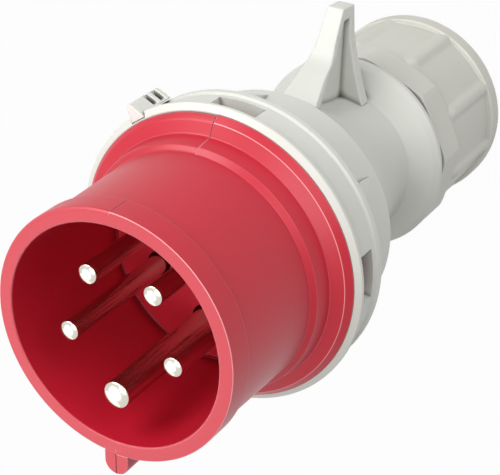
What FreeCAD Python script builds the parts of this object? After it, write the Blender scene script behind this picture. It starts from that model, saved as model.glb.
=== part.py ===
"""Five-pole industrial pin and sleeve plug, built piece by piece in millimetres.

Each piece is drawn with the plug's axis along Y: the mouth of the shroud lies at y = 0 and looks
along -Y, the cable leaves along +Y, and the grip fin points along +Z, opposite the guide key.
Angles are measured about the axis from the fin, clockwise as seen from the mouth.
At the end the whole plug is stood on its gland nut, because it would roll on its side: the mouth
then looks up, with its centre still at the origin, and the fin points along -Y.
"""
import os
import FreeCAD, Part
from math import cos, degrees, radians, sin, sqrt

# Fits
RUN_GAP = 0.3                 # between curved faces of pieces that move on each other
SEAT_GAP = 0.1                # between a pin and its hole in one body
EDGE = 0.5                    # broken edge of a moulded rim

# Front shroud
BORE_R = 28.2
TUBE_WALL = 2.8
TUBE_DRAFT = 0.5              # the tube's radius grows this much from the rim to its shoulder
RIM_PROUD = 0.9               # the mouth's band stands this far outside the tube
RIM_LEN = 6.9
RIM_SLOPE = 1.1
FLOOR_Y = 43.0
FLOOR_T = 4.0
RING_Y = 35.5                 # where the tube steps up to the thicker ring before the flange
RING_SLOPE = 1.1
RING_PROUD = 1.4
RING_LEN = 6.0
RING_DRAFT = 0.7
FLANGE_W = 4.8
FACE_SLOPE = 1.4              # the flange's front face falls back this far from root to edge
FACE_SHARE = 2 / 3            # of the flange's width, the rest is its bevelled edge
FLANGE_BACK_Y = 44.8
KEY_W = 6.5
KEY_TIP_R = 37.5
KEY_TURN = -1.5               # degrees from straight down
SPIGOT_WALL = 2.0
SPIGOT_LEN = 11.3

# Bayonet between shroud and rear housing
LUG_COUNT = 4
LUG_ANGLE = 29.5              # keeps lugs and stops clear of the windows through the whole twist
LUG_WIDTH = 22.0
LUG_LEN = 3.0
LUG_PROUD = 2.6
LEDGE_LEN = 3.0
TWIST = 28.0
STOP_WIDTH = 4.0

# Contacts
PIN_CIRCLE_R = 15.0
EARTH_CIRCLE_R = 16.4
PIN_STEP = 72.0
PIN_R = 2.5
PIN_TIP_Y = 2.6
EARTH_R = 3.5
EARTH_TIP_Y = 0.6
DOME_FACTOR = 1.12            # dome's radius over the pin's
RECESS_DEPTH = 2.0
RECESS_MARGIN = 1.2
PIN_ROOT_MARGIN = 0.4         # the pin is this much wider in radius where it passes the floor
PIN_COLLAR_MARGIN = 2.3
PIN_COLLAR_LEN = 2.0
BARREL_MARGIN = 1.6
BARREL_LEN = 17.0
WIRE_BORE_MARGIN = 0.3        # wire bore is this much smaller in radius than the pin
WIRE_BORE_DEPTH = 13.0
TERMINAL_SCREW_BACK = 6.0     # from the barrel's rear face
TERMINAL_SCREW_R = 1.65
EARTH_SCREW_R = 2.1
SCREW_HEAD_MARGIN = 1.1
SCREW_HEAD_LEN = 2.2
SCREW_STEM = 5.5
GUARD_T = 0.4
GUARD_GAP = 0.05              # between a guard and the tip of its screw
GUARD_LEN = 8.0

# Contact carrier
CARRIER_T = 8.0
CARRIER_RIM_T = 4.0
CARRIER_HUB_R = 23.5
TOWER_WALL = 1.8
CARRIER_SCREW_R = 1.6
CARRIER_SCREW_BITE = 2.4
CARRIER_HEAD_R = 3.3
CARRIER_HEAD_LEN = 2.3

# Gasket
GASKET_W = 2.2
GASKET_T = 1.5

# Rear housing
LIP_PROUD = 1.5               # lip stands this far outside the flange
LIP_LEN = 2.6
BAND_INSET = 1.6              # the band lies this far inside the lip
BAND_WALL = 3.6
BAND_LEN = 8.6
REAR_RIM_PROUD = 0.6
REAR_RIM_LEN = 2.8
STEP_DROP = 4.7               # from the rear rim down to the housing behind it
STEP_TAPER = 1.2
STEP_END_Y = 75.4
NECK_R = 20.8
NECK_Y = 111.8
HOUSING_WALL = 2.6
SHOULDER_R = 28.0
SHOULDER_LEN = 6.2
SHOULDER_EDGE = 1.4
WINDOW_ANGLES = (1.0, 86.0, 181.0, 266.0)
WINDOW_WIDTH = 19.5
WINDOW_LEN = 6.0
GUSSET_COUNT = 6
GUSSET_ANGLE = -3.6
GUSSET_W = 4.3
GUSSET_LEN = 14.5
GUSSET_POINT_W = 0.4

# Grip fin
FIN_TOP_Z = 47.3
FIN_FRONT_Y = 102.8
FIN_BACK_Y = 109.2
FIN_TIP_W = 4.7
FIN_WAIST_W = 5.6
FIN_WAIST_Z = 38.5
FIN_WAIST_BACK = 4.8          # the waist lies this far in front of the fin's top edge
FIN_KNEE_Z = 33.2
FIN_KNEE_BACK = 10.6
FIN_KNEE_SAG = 0.9            # how far the front plate's curve hangs below its chord at the knee
FIN_TOE_Z = 26.0
FIN_TOE_Y = 82.5
FIN_FOOT_Z = 20.0
FIN_FOOT_W = 15.0
FIN_SPREAD = 0.42             # share of the spread reached half-way down to the foot
FIN_HEEL = 1.6                # the rear face leans out this far at the neck
FIN_PLATE_T = 1.8
FIN_BACK_T = 2.3
FIN_WEB_T = 1.6
FIN_CAP_T = 3.6

# Lock slide
LOCK_ANGLE = -36.5
LOCK_WIDTH = 4.4
LOCK_CREST_W = 1.1
LOCK_CREST_SHIFT = -0.5       # the crest leans away from the fin
LOCK_RISE = 3.8
LOCK_GAP = 0.3                # under the slide, over the rear rim
LOCK_LEN = 12.8
LOCK_SLOTS = ((6.1, 1.8), (9.4, 1.9))
LOCK_SLOT_DEPTH = 3.2
LOCK_TRAVEL = 3.0
LOCK_FOOT_W = 3.0
LOCK_FOOT_FLARE = 0.8
LOCK_FOOT_DEPTH = 2.0
LOCK_FOOT_LEN = 4.4
LOCK_FOOT_EDGE = 0.4          # upright edge at the foot's widest place
LOCK_FIT = 0.15               # around the foot in its groove

# Gland
THREAD_R = 22.2
THREAD_LEN = 15.5
THREAD_WALL = 2.6
SEAT_IN = 3.0                 # the cage's seat lies this far inside the shoulder's rear face
CAGE_WALL = 2.6
CAGE_FINGERS = 10
CAGE_SLOT_W = 2.2
CAGE_TAPER = 2.7              # the fingers' tips lie this far inside the cage's bore
CAGE_TIP_WALL = 2.2
SEAL_SHORT = 3.0              # the seals end this far inside the fingers' tips
SEAL_OUTER_WALL = 4.0
SEAL_INNER_WALL = 3.5
WASHER_T = 1.2
WASHER_MARGIN = 1.2
WASHER_HOLE_MARGIN = 0.8
NUT_START_GAP = 0.7
NUT_LEN = 42.0
NUT_SIDES = 9
NUT_SIDE_ANGLE = -17.5        # middle of one flat, where a rib runs
NUT_WALL = 5.9                # from the thread's bore to the skirt's corners
NUT_SKIRT_LEN = 12.2
NUT_RIM_DROP = 1.1            # the rim's radius is this much less than the corners'
NUT_RIM_LEN = 6.0
NUT_REAR_DROP = 0.8           # and the rear face's this much less than the rim's
NUT_RIB_W = 3.0
NUT_FLANK_W = 0.9
NUT_PANEL_DROP = 2.4          # from the skirt's corners to the panels'
NUT_EXIT_INSET = 4.9          # the exit's edge lies this far inside the fingers' tips
NUT_BACK_T = 5.1              # wall behind the washer
NUT_CHAMFER_LEN = 2.4         # the skirt's corners are turned down this far at its front
NUT_SLOPE_LEN = 1.2           # from the skirt down to the panels
NUT_REAR_EDGE = 2.0

# Places that follow from the values above
TUBE_R = BORE_R + TUBE_WALL
RIM_R = TUBE_R + RIM_PROUD
TUBE_END_R = TUBE_R + TUBE_DRAFT
RING_R = TUBE_END_R + RING_PROUD
FLANGE_IN_R = RING_R + RING_DRAFT
FLANGE_R = FLANGE_IN_R + FLANGE_W
FACE_EDGE_R = FLANGE_IN_R + FLANGE_W * FACE_SHARE
FACE_Y = RING_Y + RING_LEN
FLOOR_BACK_Y = FLOOR_Y + FLOOR_T
LIP_R = FLANGE_R + LIP_PROUD
BAND_R = LIP_R - BAND_INSET
REAR_RIM_R = BAND_R + REAR_RIM_PROUD
STEP_R = REAR_RIM_R - STEP_DROP
STEP_END_R = STEP_R - STEP_TAPER
COLLAR_BORE_R = BAND_R - BAND_WALL
SPIGOT_R = COLLAR_BORE_R - RUN_GAP - LUG_PROUD
SPIGOT_BACK_Y = FLANGE_BACK_Y + SPIGOT_LEN
LIP_Y = FLANGE_BACK_Y + SEAT_GAP
BAND_Y = LIP_Y + LIP_LEN
REAR_RIM_Y = BAND_Y + BAND_LEN
STEP_Y = REAR_RIM_Y + REAR_RIM_LEN
SHOULDER_Y = NECK_Y + SHOULDER_LEN
THREAD_END_Y = SHOULDER_Y + THREAD_LEN
LEDGE_Y = LIP_Y + GASKET_T + 0.2
LUG_Y = LEDGE_Y + LEDGE_LEN + RUN_GAP
NECK_ARC_R = ((NECK_Y - STEP_END_Y) ** 2 + (STEP_END_R - NECK_R) ** 2) / (2 * (STEP_END_R - NECK_R))
PIN_ANGLES = {"pin_line_1": -PIN_STEP / 2, "pin_line_2": PIN_STEP / 2, "pin_line_3": 1.5 * PIN_STEP,
              "pin_neutral": -1.5 * PIN_STEP}
NUT_Y = SHOULDER_Y + NUT_START_GAP
NUT_END_Y = NUT_Y + NUT_LEN
CAGE_SEAT_Y = SHOULDER_Y + SEAT_IN
CAGE_BORE_R = THREAD_R - THREAD_WALL
CAGE_TIP_R = CAGE_BORE_R - CAGE_TAPER
NUT_BORE_R = THREAD_R + RUN_GAP
NUT_CORNER_R = NUT_BORE_R + NUT_WALL
NUT_PANEL_R = NUT_CORNER_R - NUT_PANEL_DROP
NUT_RIM_R = NUT_CORNER_R - NUT_RIM_DROP
NUT_REAR_R = NUT_RIM_R - NUT_REAR_DROP
NUT_EXIT_R = CAGE_TIP_R - NUT_EXIT_INSET
NUT_SEAT_Y = NUT_END_Y - NUT_BACK_T
WASHER_Y = NUT_SEAT_Y - SEAT_GAP - WASHER_T
CAGE_END_Y = WASHER_Y - RUN_GAP
SEAL_LEN = CAGE_END_Y - SEAL_SHORT - CAGE_SEAT_Y
SEAL_OUTER_R = CAGE_TIP_R - CAGE_TIP_WALL - SEAT_GAP
SEAL_INNER_R = SEAL_OUTER_R - SEAL_OUTER_WALL - SEAT_GAP
CABLE_R = SEAL_INNER_R - SEAL_INNER_WALL

ORIGIN = FreeCAD.Vector(0, 0, 0)
AXIS = FreeCAD.Vector(0, 1, 0)


def vec(x, y, z):
    return FreeCAD.Vector(x, y, z)


def turned(points):
    """A solid turned about the plug's axis from a closed outline of (radius, y) points.

    A third value in a point makes the stretch that ends there an arc through that middle point.
    """
    edges = []
    last = points[-1]
    for point in points:
        start = vec(last[0], last[1], 0)
        end = vec(point[0], point[1], 0)
        if len(point) == 3:
            edges.append(Part.Arc(start, vec(point[2][0], point[2][1], 0), end).toShape())
        elif start.distanceToPoint(end) > 1e-7:
            edges.append(Part.makeLine(start, end))
        last = point
    face = Part.Face(Part.Wire(edges))
    return face.revolve(ORIGIN, AXIS, 360)


def tube(y, length, outer, inner=0.0):
    solid = Part.makeCylinder(outer, length, vec(0, y, 0), AXIS)
    if inner > 0:
        solid = solid.cut(Part.makeCylinder(inner, length + 2, vec(0, y - 1, 0), AXIS))
    return solid


def spun(shape, angle):
    """The shape turned about the plug's axis by an angle in degrees."""
    copy = shape.copy()
    copy.rotate(ORIGIN, AXIS, angle)
    return copy


def sector(y, length, inner, outer, width, angle):
    """A piece of a ring, width degrees wide, with its middle at the given angle."""
    outline = [vec(inner, y, 0), vec(outer, y, 0), vec(outer, y + length, 0), vec(inner, y + length, 0)]
    face = Part.Face(Part.makePolygon(outline + [outline[0]]))
    # The outline lies on +X, which is 90 degrees from the top.
    return spun(face.revolve(ORIGIN, AXIS, width), angle - width / 2 - 90)


def prism(points, direction):
    """A straight prism on a closed outline of three-dimensional points."""
    wire = Part.makePolygon(points + [points[0]])
    return Part.Face(wire).extrude(direction)


def one(shape):
    """The shape with split faces joined."""
    return shape.removeSplitter()


# Front shroud: mouth, tube, floor, flange and bayonet spigot in one moulding
def front_shroud():
    edge_mid = EDGE * (1 - sqrt(0.5))
    body = turned([
        (BORE_R + EDGE, 0),
        (RIM_R - EDGE, 0),
        (RIM_R, EDGE, (RIM_R - edge_mid, edge_mid)),
        (RIM_R, RIM_LEN),
        (TUBE_R, RIM_LEN + RIM_SLOPE),
        (TUBE_END_R, RING_Y),
        (RING_R, RING_Y + RING_SLOPE),
        (FLANGE_IN_R, FACE_Y),
        (FACE_EDGE_R, FACE_Y + FACE_SLOPE),
        (FLANGE_R, FLANGE_BACK_Y),
        (SPIGOT_R, FLANGE_BACK_Y),
        (SPIGOT_R, SPIGOT_BACK_Y),
        (SPIGOT_R - SPIGOT_WALL, SPIGOT_BACK_Y),
        (SPIGOT_R - SPIGOT_WALL, FLOOR_BACK_Y),
        (0, FLOOR_BACK_Y),
        (0, FLOOR_Y),
        (BORE_R, FLOOR_Y),
        (BORE_R, EDGE),
    ])
    key_r = KEY_W / 2
    key_len = FACE_Y + FACE_SLOPE
    nose = Part.makeCylinder(key_r, key_len, vec(0, 0, key_r - KEY_TIP_R), AXIS)
    root_z = -(BORE_R + TUBE_WALL / 2)
    web = Part.makeBox(KEY_W, key_len, KEY_TIP_R - key_r + root_z, vec(-key_r, 0, key_r - KEY_TIP_R))
    body = body.fuse([spun(nose, KEY_TURN), spun(web, KEY_TURN)])
    for i in range(LUG_COUNT):
        angle = LUG_ANGLE + i * 360 / LUG_COUNT
        lug = sector(LUG_Y, LUG_LEN, SPIGOT_R - EDGE, SPIGOT_R + LUG_PROUD, LUG_WIDTH, angle)
        body = body.fuse(lug)
    holes = []
    for angle, circle, pin_r in contact_places():
        hole = tube(FLOOR_Y - 1, FLOOR_T + 2, pin_r + PIN_ROOT_MARGIN + SEAT_GAP)
        recess = tube(FLOOR_Y - 1, RECESS_DEPTH + 1, pin_r + RECESS_MARGIN)
        holes += [placed(hole, angle, circle), placed(recess, angle, circle)]
    holes.append(tube(FLOOR_BACK_Y - CARRIER_SCREW_BITE - SEAT_GAP, FLOOR_T, CARRIER_SCREW_R + SEAT_GAP))
    return one(body.cut(holes))


def contact_places():
    """Angle, circle radius and pin radius of each contact, the earth last."""
    places = [(angle, PIN_CIRCLE_R, PIN_R) for angle in PIN_ANGLES.values()]
    places.append((180.0, EARTH_CIRCLE_R, EARTH_R))
    return places


def placed(shape, angle, circle):
    """A shape made about the plug's axis, moved out to a contact's place, its top side outward."""
    copy = shape.copy()
    copy.translate(vec(0, 0, circle))
    return spun(copy, angle)


# Contact pins: turned, with a root in the floor, a collar, a terminal barrel, a wire bore and a screw hole
def contact_pin(pin_r, tip_y, screw_r):
    dome_r = pin_r * DOME_FACTOR
    dome_rise = dome_r - sqrt(dome_r ** 2 - pin_r ** 2)
    half = 0.5 * (pin_r / dome_r)
    middle = (dome_r * half, tip_y + dome_r - sqrt(dome_r ** 2 - (dome_r * half) ** 2))
    collar_r = pin_r + PIN_COLLAR_MARGIN
    barrel_r = pin_r + BARREL_MARGIN
    root_r = pin_r + PIN_ROOT_MARGIN
    root_y = FLOOR_Y + RECESS_DEPTH
    collar_y = FLOOR_BACK_Y
    barrel_end = collar_y + PIN_COLLAR_LEN + BARREL_LEN
    pin = turned([
        (0, tip_y),
        (pin_r, tip_y + dome_rise, middle),
        (pin_r, root_y),
        (root_r, root_y),
        (root_r, collar_y),
        (collar_r, collar_y),
        (collar_r, collar_y + PIN_COLLAR_LEN),
        (barrel_r, collar_y + PIN_COLLAR_LEN),
        (barrel_r, barrel_end),
        (pin_r - WIRE_BORE_MARGIN, barrel_end),
        (pin_r - WIRE_BORE_MARGIN, barrel_end - WIRE_BORE_DEPTH),
        (0, barrel_end - WIRE_BORE_DEPTH - pin_r / 2),
    ])
    screw_y = barrel_end - TERMINAL_SCREW_BACK
    cross = Part.makeCylinder(screw_r + SEAT_GAP, barrel_r + 1, vec(0, screw_y, 0), vec(0, 0, 1))
    return one(pin.cut(cross))


def barrel_end_y():
    return FLOOR_BACK_Y + PIN_COLLAR_LEN + BARREL_LEN


def guard_top(pin_r):
    """Height of the wire guard's upper face above the barrel's axis."""
    return (pin_r - WIRE_BORE_MARGIN) * 0.7


def screw_head_top(pin_r):
    """Height of the terminal screw's head above the barrel's axis."""
    return guard_top(pin_r) + GUARD_GAP + SCREW_STEM + SCREW_HEAD_LEN


# Terminal screws: slotted, one in each barrel, turned from outside
def terminal_screw(pin_r, screw_r):
    screw_y = barrel_end_y() - TERMINAL_SCREW_BACK
    tip = guard_top(pin_r) + GUARD_GAP
    up = vec(0, 0, 1)
    head_z = tip + SCREW_STEM
    head_r = screw_r + SCREW_HEAD_MARGIN
    stem = Part.makeCylinder(screw_r, SCREW_STEM, vec(0, screw_y, tip), up)
    head = Part.makeCylinder(head_r, SCREW_HEAD_LEN, vec(0, screw_y, head_z), up)
    slot_z = head_z + SCREW_HEAD_LEN / 2
    slot = Part.makeBox(2 * head_r + 1, 0.8, SCREW_HEAD_LEN, vec(-head_r - 0.5, screw_y - 0.4, slot_z))
    return one(stem.fuse(head).cut(slot))


# Wire guards: spring leaves between screw and strands
def wire_guard(pin_r):
    top = guard_top(pin_r)
    bore_r = pin_r - WIRE_BORE_MARGIN
    half = sqrt(bore_r ** 2 - top ** 2) - SEAT_GAP
    screw_y = barrel_end_y() - TERMINAL_SCREW_BACK
    leaf = Part.makeBox(2 * half, GUARD_LEN, GUARD_T, vec(-half, screw_y - GUARD_LEN / 2, top - GUARD_T))
    return leaf


# Contact carrier: holds the pins' collars against the floor and walls the terminals apart
def contact_carrier():
    carrier_r = SPIGOT_R - SPIGOT_WALL - RUN_GAP
    body = tube(FLOOR_BACK_Y, CARRIER_T, carrier_r)
    tower_y = FLOOR_BACK_Y + CARRIER_T
    cuts = []
    for angle, circle, pin_r in contact_places():
        barrel_r = pin_r + BARREL_MARGIN
        tower = tube(tower_y - 1, barrel_end_y() - tower_y + 1, barrel_r + TOWER_WALL + SEAT_GAP)
        body = body.fuse(placed(tower, angle, circle))
        cuts.append(placed(tube(FLOOR_BACK_Y - 1, 50, barrel_r + SEAT_GAP), angle, circle))
        collar_r = pin_r + PIN_COLLAR_MARGIN
        pocket = tube(FLOOR_BACK_Y - 1, PIN_COLLAR_LEN + 1 + SEAT_GAP, collar_r + SEAT_GAP)
        cuts.append(placed(pocket, angle, circle))
        head_r = EARTH_SCREW_R + SCREW_HEAD_MARGIN + RUN_GAP
        slot_y = barrel_end_y() - TERMINAL_SCREW_BACK - head_r
        slot = Part.makeBox(2 * head_r, 50, screw_head_top(pin_r) + RUN_GAP, vec(-head_r, slot_y, 0))
        cuts.append(placed(slot, angle, circle))
    cuts.append(tube(FLOOR_BACK_Y - 1, CARRIER_T + 2, CARRIER_SCREW_R + SEAT_GAP))
    # The rim is cut back between the spigot's wall and the towers, to leave a light plate.
    cuts.append(tube(FLOOR_BACK_Y + CARRIER_RIM_T, CARRIER_T, carrier_r + 1, CARRIER_HUB_R))
    return one(body.cut(cuts))


# Carrier screw: pulls the carrier onto the floor
def carrier_screw():
    head_y = FLOOR_BACK_Y + CARRIER_T
    stem_y = FLOOR_BACK_Y - CARRIER_SCREW_BITE
    screw = tube(stem_y, head_y - stem_y, CARRIER_SCREW_R)
    screw = screw.fuse(tube(head_y, CARRIER_HEAD_LEN, CARRIER_HEAD_R))
    slot = Part.makeBox(2 * CARRIER_HEAD_R + 1, 2, 0.9, vec(-CARRIER_HEAD_R - 0.5, head_y + 1.2, -0.45))
    return one(screw.cut(slot))


# Flange gasket: seals the shroud's flange to the housing
def flange_gasket():
    outer = COLLAR_BORE_R - RUN_GAP
    return tube(FLANGE_BACK_Y, GASKET_T, outer, outer - GASKET_W)


# Rear housing: collar, neck, fin, shoulder and threaded spigot in one moulding
def neck_arc(offset, y):
    """Radius of the neck's curve at y, offset inward by a wall."""
    radius = NECK_ARC_R + offset
    return NECK_R + NECK_ARC_R - sqrt(radius ** 2 - (NECK_Y - y) ** 2)


def rear_housing():
    middle_y = (STEP_END_Y + NECK_Y) / 2
    cavity_y = STEP_END_Y + 1.0
    shoulder_edge_y = SHOULDER_Y - SHOULDER_EDGE
    bore_in = NECK_R - HOUSING_WALL
    seat_r = CAGE_BORE_R - CAGE_WALL + 0.4
    body = turned([
        (COLLAR_BORE_R, LIP_Y),
        (FLANGE_R, LIP_Y),
        (LIP_R, LIP_Y + LIP_PROUD - EDGE),
        (LIP_R, LIP_Y + LIP_LEN - EDGE),
        (BAND_R, BAND_Y),
        (BAND_R, REAR_RIM_Y),
        (REAR_RIM_R, REAR_RIM_Y + EDGE),
        (REAR_RIM_R, STEP_Y - EDGE),
        (REAR_RIM_R - EDGE, STEP_Y),
        (STEP_R, STEP_Y),
        (STEP_END_R, STEP_END_Y),
        (NECK_R, NECK_Y, (neck_arc(0, middle_y), middle_y)),
        (SHOULDER_R - SHOULDER_EDGE, shoulder_edge_y - SHOULDER_EDGE),
        (SHOULDER_R, shoulder_edge_y),
        (SHOULDER_R, SHOULDER_Y - EDGE / 2),
        (SHOULDER_R - EDGE / 2, SHOULDER_Y),
        (THREAD_R, SHOULDER_Y),
        (THREAD_R, THREAD_END_Y - EDGE),
        (THREAD_R - EDGE, THREAD_END_Y),
        (CAGE_BORE_R, THREAD_END_Y),
        (CAGE_BORE_R, CAGE_SEAT_Y),
        (seat_r, CAGE_SEAT_Y),
        (seat_r, NECK_Y),
        (bore_in, NECK_Y),
        (neck_arc(HOUSING_WALL, cavity_y), cavity_y, (neck_arc(HOUSING_WALL, middle_y), middle_y)),
        (STEP_R - HOUSING_WALL, STEP_Y),
        (COLLAR_BORE_R, STEP_Y - REAR_RIM_LEN),
    ])
    add = [fin()]
    for i in range(GUSSET_COUNT):
        add.append(spun(gusset(), GUSSET_ANGLE + i * 360 / GUSSET_COUNT))
    for i in range(LUG_COUNT):
        angle = LUG_ANGLE + i * 360 / LUG_COUNT
        inner = SPIGOT_R + RUN_GAP
        add.append(sector(LEDGE_Y, LEDGE_LEN, inner, COLLAR_BORE_R + 1, LUG_WIDTH + 2, angle))
        gap = degrees(RUN_GAP / COLLAR_BORE_R)
        for side, turn in ((-1, 0), (1, TWIST)):
            stop = angle + turn + side * (LUG_WIDTH / 2 + STOP_WIDTH / 2 + gap)
            add.append(sector(LUG_Y, LUG_LEN, inner, COLLAR_BORE_R + 1, STOP_WIDTH, stop))
    body = body.fuse(add)
    cuts = []
    window_y = BAND_Y + (BAND_LEN - WINDOW_LEN) / 2
    for angle in WINDOW_ANGLES:
        cuts.append(sector(window_y, WINDOW_LEN, COLLAR_BORE_R - 1, BAND_R + 2, WINDOW_WIDTH, angle))
    cuts += lock_cuts()
    return one(body.cut(cuts))


def gusset():
    """A ramp behind the rear rim that narrows to a point."""
    top = REAR_RIM_R - EDGE
    root = STEP_END_R - HOUSING_WALL / 2
    y = STEP_Y - EDGE
    end = y + GUSSET_LEN
    low = root - 1
    half = GUSSET_W / 2
    point = GUSSET_POINT_W / 2
    profile = [vec(-half, y, root), vec(-half, y, top), vec(-half, end, STEP_END_R), vec(-half, end, root)]
    plan = [vec(-half, y, low), vec(half, y, low), vec(point, end, low), vec(-point, end, low)]
    return prism(profile, vec(GUSSET_W, 0, 0)).common(prism(plan, vec(0, 0, top)))


def fin_outline():
    """The fin seen from the front: straight above the waist, spreading in an arc to the foot."""
    top = FIN_TOP_Z + 1
    mid_z = (FIN_WAIST_Z + FIN_FOOT_Z) / 2
    mid_w = FIN_WAIST_W + (FIN_FOOT_W - FIN_WAIST_W) * FIN_SPREAD
    widths = ((FIN_TIP_W, top), (FIN_WAIST_W, FIN_WAIST_Z), (FIN_FOOT_W, FIN_FOOT_Z))
    right = [vec(width / 2, 0, z) for width, z in widths]
    left = [vec(-p.x, 0, p.z) for p in right]
    base = FIN_FOOT_Z - 10
    edges = [
        Part.makeLine(left[0], right[0]),
        Part.makeLine(right[0], right[1]),
        Part.Arc(right[1], vec(mid_w / 2, 0, mid_z), right[2]).toShape(),
        Part.makeLine(right[2], vec(FIN_FOOT_W / 2, 0, base)),
        Part.makeLine(vec(FIN_FOOT_W / 2, 0, base), vec(-FIN_FOOT_W / 2, 0, base)),
        Part.makeLine(vec(-FIN_FOOT_W / 2, 0, base), left[2]),
        Part.Arc(left[2], vec(-mid_w / 2, 0, mid_z), left[1]).toShape(),
        Part.makeLine(left[1], left[0]),
    ]
    return Part.Face(Part.Wire(edges)).extrude(vec(0, 200, 0))


def fin_side(back_shift):
    """The front plate's curve in side view, closed towards the neck."""
    start = vec(0, FIN_FRONT_Y + back_shift, FIN_TOP_Z)
    waist = vec(0, FIN_FRONT_Y - FIN_WAIST_BACK + back_shift, FIN_WAIST_Z)
    knee = vec(0, FIN_FRONT_Y - FIN_KNEE_BACK + back_shift, FIN_KNEE_Z)
    toe = vec(0, FIN_TOE_Y + back_shift * 1.4, FIN_TOE_Z)
    return [
        Part.makeLine(start, waist),
        Part.Arc(waist, (waist + knee) / 2 + vec(0, FIN_KNEE_SAG, -FIN_KNEE_SAG), knee).toShape(),
        Part.makeLine(knee, toe),
    ]


def fin():
    """The grip fin: a curved front plate, a rear plate and a web between them under a cap."""
    back = vec(0, FIN_BACK_Y, FIN_TOP_Z - 0.4)
    heel = vec(0, FIN_BACK_Y + FIN_HEEL, NECK_R - HOUSING_WALL / 2)
    front_edges = fin_side(0)
    foot = front_edges[-1].Vertexes[-1].Point
    under = vec(0, foot.y, NECK_R - HOUSING_WALL / 2)
    edges = front_edges + [
        Part.makeLine(foot, under),
        Part.makeLine(under, heel),
        Part.makeLine(heel, back),
        Part.makeLine(back, vec(0, FIN_FRONT_Y, FIN_TOP_Z)),
    ]
    side = Part.Face(Part.Wire(edges))
    wide = 2 * FIN_FOOT_W
    body = side.extrude(vec(wide, 0, 0))
    body.translate(vec(-wide / 2, 0, 0))
    body = body.common(fin_outline())
    # Each side is hollowed between the plates, down to the neck and up to the cap.
    inner = fin_side(FIN_PLATE_T * 1.5)
    foot = inner[-1].Vertexes[-1].Point
    cap_z = FIN_TOP_Z - FIN_CAP_T
    rear_y = FIN_BACK_Y - FIN_BACK_T
    low = NECK_R - HOUSING_WALL
    hollow_edges = inner + [
        Part.makeLine(foot, vec(0, foot.y, low)),
        Part.makeLine(vec(0, foot.y, low), vec(0, rear_y, low)),
        Part.makeLine(vec(0, rear_y, low), vec(0, rear_y, FIN_TOP_Z)),
        Part.makeLine(vec(0, rear_y, FIN_TOP_Z), inner[0].Vertexes[0].Point),
    ]
    hollow = Part.Face(Part.Wire(hollow_edges)).extrude(vec(wide, 0, 0))
    hollow.translate(vec(FIN_WEB_T / 2, 0, 0))
    roof = Part.makeBox(2 * wide, 60, 20, vec(-wide, FIN_FRONT_Y - 20, cap_z))
    hollow = hollow.cut(roof)
    other = hollow.mirror(ORIGIN, vec(1, 0, 0))
    body = body.cut([hollow, other])
    # What would reach into the housing's cavity is cut off at half the neck's wall.
    middle_y = (STEP_END_Y + NECK_Y) / 2
    wall = HOUSING_WALL / 2
    core = turned([
        (0, STEP_END_Y),
        (neck_arc(wall, STEP_END_Y), STEP_END_Y),
        (NECK_R - wall, NECK_Y, (neck_arc(wall, middle_y), middle_y)),
        (NECK_R - wall, NECK_Y + 20),
        (0, NECK_Y + 20),
    ])
    return body.cut(core)


# Lock slide: a slotted ridge that runs across the collar, on a dovetail foot in the band
def dovetail(y, length, top, clearance):
    root = BAND_R - LOCK_FOOT_DEPTH - clearance
    neck = LOCK_FOOT_W / 2 + clearance
    wide = neck + LOCK_FOOT_FLARE
    shelf = BAND_R - LOCK_FOOT_DEPTH + LOCK_FOOT_EDGE + clearance
    knee = BAND_R - LOCK_FOOT_DEPTH / 2 + clearance
    right = [vec(wide, y, root), vec(wide, y, shelf), vec(neck, y, knee), vec(neck, y, top)]
    left = [vec(-p.x, y, p.z) for p in reversed(right)]
    return spun(prism(right + left, vec(0, length, 0)), LOCK_ANGLE)


def lock_groove_y():
    return BAND_Y + EDGE


def lock_cuts():
    """What the slide needs in the housing: a groove in the band and a gap in the lip."""
    groove = dovetail(lock_groove_y(), LOCK_FOOT_LEN + LOCK_TRAVEL + 2 * SEAT_GAP, BAND_R + 1, LOCK_FIT)
    half = LOCK_WIDTH / 2 + RUN_GAP
    notch = Part.makeBox(2 * half, LIP_LEN + 2, 5, vec(-half, LIP_Y - 1, BAND_R + LOCK_GAP))
    return [groove, spun(notch, LOCK_ANGLE)]


def lock_slide():
    under = REAR_RIM_R + LOCK_GAP
    half = LOCK_WIDTH / 2
    crest = LOCK_CREST_W / 2
    top = under + LOCK_RISE
    lean = LOCK_CREST_SHIFT
    section = [vec(x, LIP_Y, under) for x in (-half, half)]
    section += [vec(x, LIP_Y, top) for x in (lean + crest, lean - crest)]
    ridge = spun(prism(section, vec(0, LOCK_LEN, 0)), LOCK_ANGLE)
    foot = dovetail(lock_groove_y() + SEAT_GAP, LOCK_FOOT_LEN, under + 0.5, 0)
    slots = []
    for start, width in LOCK_SLOTS:
        low = vec(-2 * half, LIP_Y + start, top - LOCK_SLOT_DEPTH)
        slot = Part.makeBox(4 * half, width, LOCK_RISE, low)
        slots.append(spun(slot, LOCK_ANGLE))
    return one(ridge.fuse(foot).cut(slots))


# Gland: cage of clamping fingers, two-part seal, slip washer and nut
def gland_cage():
    outer = CAGE_BORE_R - SEAT_GAP
    inner = outer - CAGE_WALL
    y = CAGE_SEAT_Y
    knee = THREAD_END_Y + 2
    end = CAGE_END_Y
    tip_in = CAGE_TIP_R - CAGE_TIP_WALL
    body = turned([
        (inner, y),
        (outer, y),
        (outer, knee),
        (CAGE_TIP_R, end),
        (tip_in, end),
        (inner, knee),
    ])
    slots = []
    for i in range(CAGE_FINGERS):
        slot = Part.makeBox(CAGE_SLOT_W, end - THREAD_END_Y + 4, 40, vec(-CAGE_SLOT_W / 2, THREAD_END_Y, 5))
        slots.append(spun(slot, (i + 0.5) * 360 / CAGE_FINGERS))
    return one(body.cut(slots))


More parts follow.
